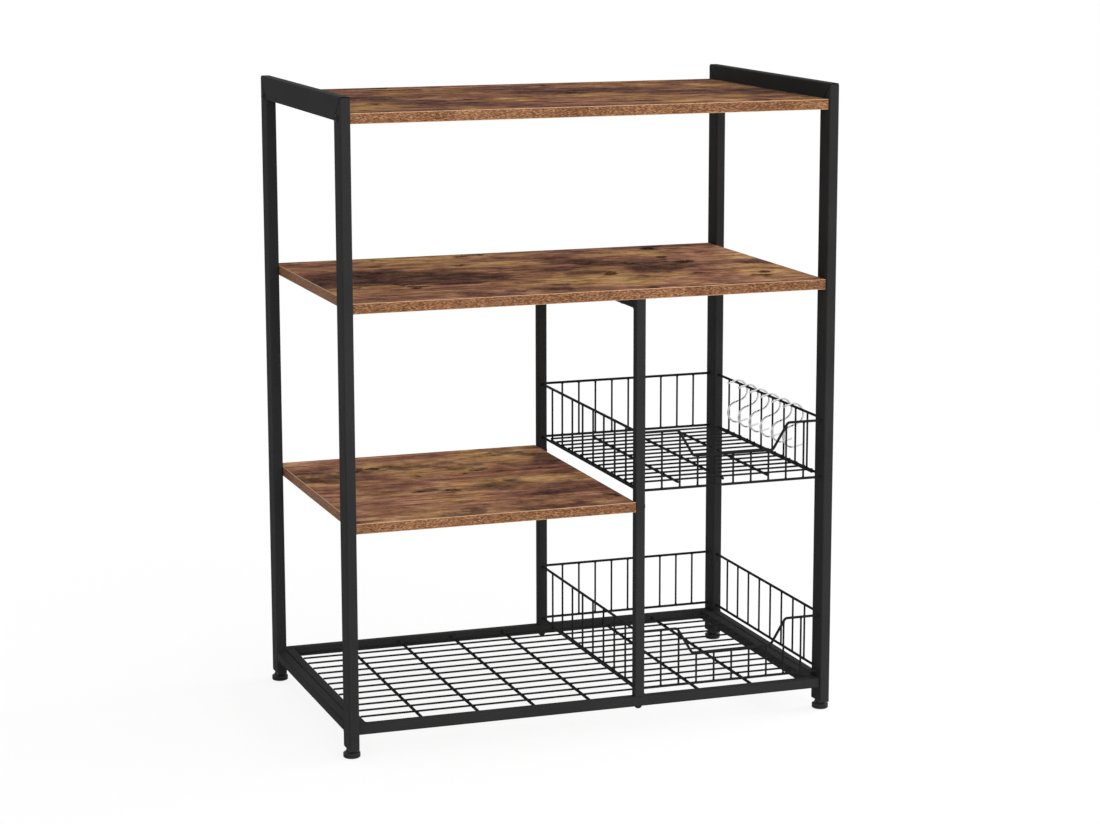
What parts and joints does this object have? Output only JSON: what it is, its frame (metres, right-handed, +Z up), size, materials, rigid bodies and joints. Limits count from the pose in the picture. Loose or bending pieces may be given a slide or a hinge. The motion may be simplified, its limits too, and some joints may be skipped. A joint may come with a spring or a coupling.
{
  "type": "bakers rack",
  "caption": "Free-standing bakers rack: black tube frames, rustic boards, wire baskets beside a small shelf, a wire mesh bottom, S-hooks and levelling feet.",
  "frame": {"origin": "on the floor under the middle of the rack", "axes": "+Z up, +X to the viewer's right across the width, +Y from the front to the back"},
  "size_m": [0.7657, 0.46, 0.945],
  "materials": {
    "frame": "matt black powder coat",
    "wire": "matt black powder coat",
    "board": "rustic brown wood-grain laminate on particle board",
    "edging": "printed wood-grain edge band",
    "hook": "bright chrome plating",
    "bolt": "black oxide",
    "steel": "zinc plated",
    "plug": "moulded black plastic",
    "foot": "moulded black plastic"
  },
  "bodies": {
    "rack": {"bottom_back_rail": "frame", "bottom_frame_bolts": "bolt", "bottom_front_rail": "frame", "bottom_left_rail": "frame", "bottom_right_rail": "frame", "bottom_wire_mesh": "wire", "divider_back_post": "frame", "divider_bolts": "bolt", "divider_front_post": "frame", "divider_inserts": "plug", "divider_screws": "steel", "divider_top_rail": "frame", "left_back_post": "frame", "left_front_post": "frame", "left_lower_rail": "frame", "left_top_rail": "frame", "lower_basket_back_panel": "wire", "lower_basket_front_panel": "wire", "lower_basket_left_panel": "wire", "lower_basket_right_panel": "wire", "middle_shelf": "board", "middle_shelf_edging": "edging", "middle_shelf_pins": "steel", "post_plugs": "plug", "right_back_post": "frame", "right_front_post": "frame", "right_lower_rail": "frame", "right_top_rail": "frame", "small_shelf": "board", "small_shelf_bolts": "bolt", "small_shelf_edging": "edging", "small_shelf_pins": "steel", "top_shelf": "board", "top_shelf_bolts": "bolt", "top_shelf_edging": "edging", "top_shelf_nuts": "steel", "upper_basket_back_panel": "wire", "upper_basket_floor": "wire", "upper_basket_front_panel": "wire", "upper_basket_left_panel": "wire", "upper_basket_right_panel": "wire"},
    "front_left_foot": {"front_left_foot_pad": "foot", "front_left_foot_stud": "steel"},
    "front_right_foot": {"front_right_foot_pad": "foot", "front_right_foot_stud": "steel"},
    "back_left_foot": {"back_left_foot_pad": "foot", "back_left_foot_stud": "steel"},
    "back_right_foot": {"back_right_foot_pad": "foot", "back_right_foot_stud": "steel"},
    "s_hook_1": {"s_hook_1": "hook"},
    "s_hook_2": {"s_hook_2": "hook"},
    "s_hook_3": {"s_hook_3": "hook"},
    "s_hook_4": {"s_hook_4": "hook"},
    "s_hook_5": {"s_hook_5": "hook"},
    "s_hook_6": {"s_hook_6": "hook"}
  },
  "joints": [
    {"name": "front_left_foot_screw", "type": "slide", "parent": "rack", "child": "front_left_foot", "axis": [0, 0, -1], "range_m": [0, 0.008]},
    {"name": "front_right_foot_screw", "type": "slide", "parent": "rack", "child": "front_right_foot", "axis": [0, 0, -1], "range_m": [0, 0.008]},
    {"name": "back_left_foot_screw", "type": "slide", "parent": "rack", "child": "back_left_foot", "axis": [0, 0, -1], "range_m": [0, 0.008]},
    {"name": "back_right_foot_screw", "type": "slide", "parent": "rack", "child": "back_right_foot", "axis": [0, 0, -1], "range_m": [0, 0.008]},
    {"name": "s_hook_1_swing", "type": "hinge", "parent": "rack", "child": "s_hook_1", "pos_m": [0.3675, 0.11683, 0.4455], "axis": [0, 1, 0], "range_deg": [-40, 40]},
    {"name": "s_hook_2_swing", "type": "hinge", "parent": "rack", "child": "s_hook_2", "pos_m": [0.3675, 0.0735, 0.4455], "axis": [0, 1, 0], "range_deg": [-40, 40]},
    {"name": "s_hook_3_swing", "type": "hinge", "parent": "rack", "child": "s_hook_3", "pos_m": [0.3675, 0.03017, 0.4455], "axis": [0, 1, 0], "range_deg": [-40, 40]},
    {"name": "s_hook_4_swing", "type": "hinge", "parent": "rack", "child": "s_hook_4", "pos_m": [0.3675, -0.01317, 0.4455], "axis": [0, 1, 0], "range_deg": [-40, 40]},
    {"name": "s_hook_5_swing", "type": "hinge", "parent": "rack", "child": "s_hook_5", "pos_m": [0.3675, -0.0565, 0.4455], "axis": [0, 1, 0], "range_deg": [-40, 40]},
    {"name": "s_hook_6_swing", "type": "hinge", "parent": "rack", "child": "s_hook_6", "pos_m": [0.3675, -0.09983, 0.4455], "axis": [0, 1, 0], "range_deg": [-40, 40]}
  ]
}
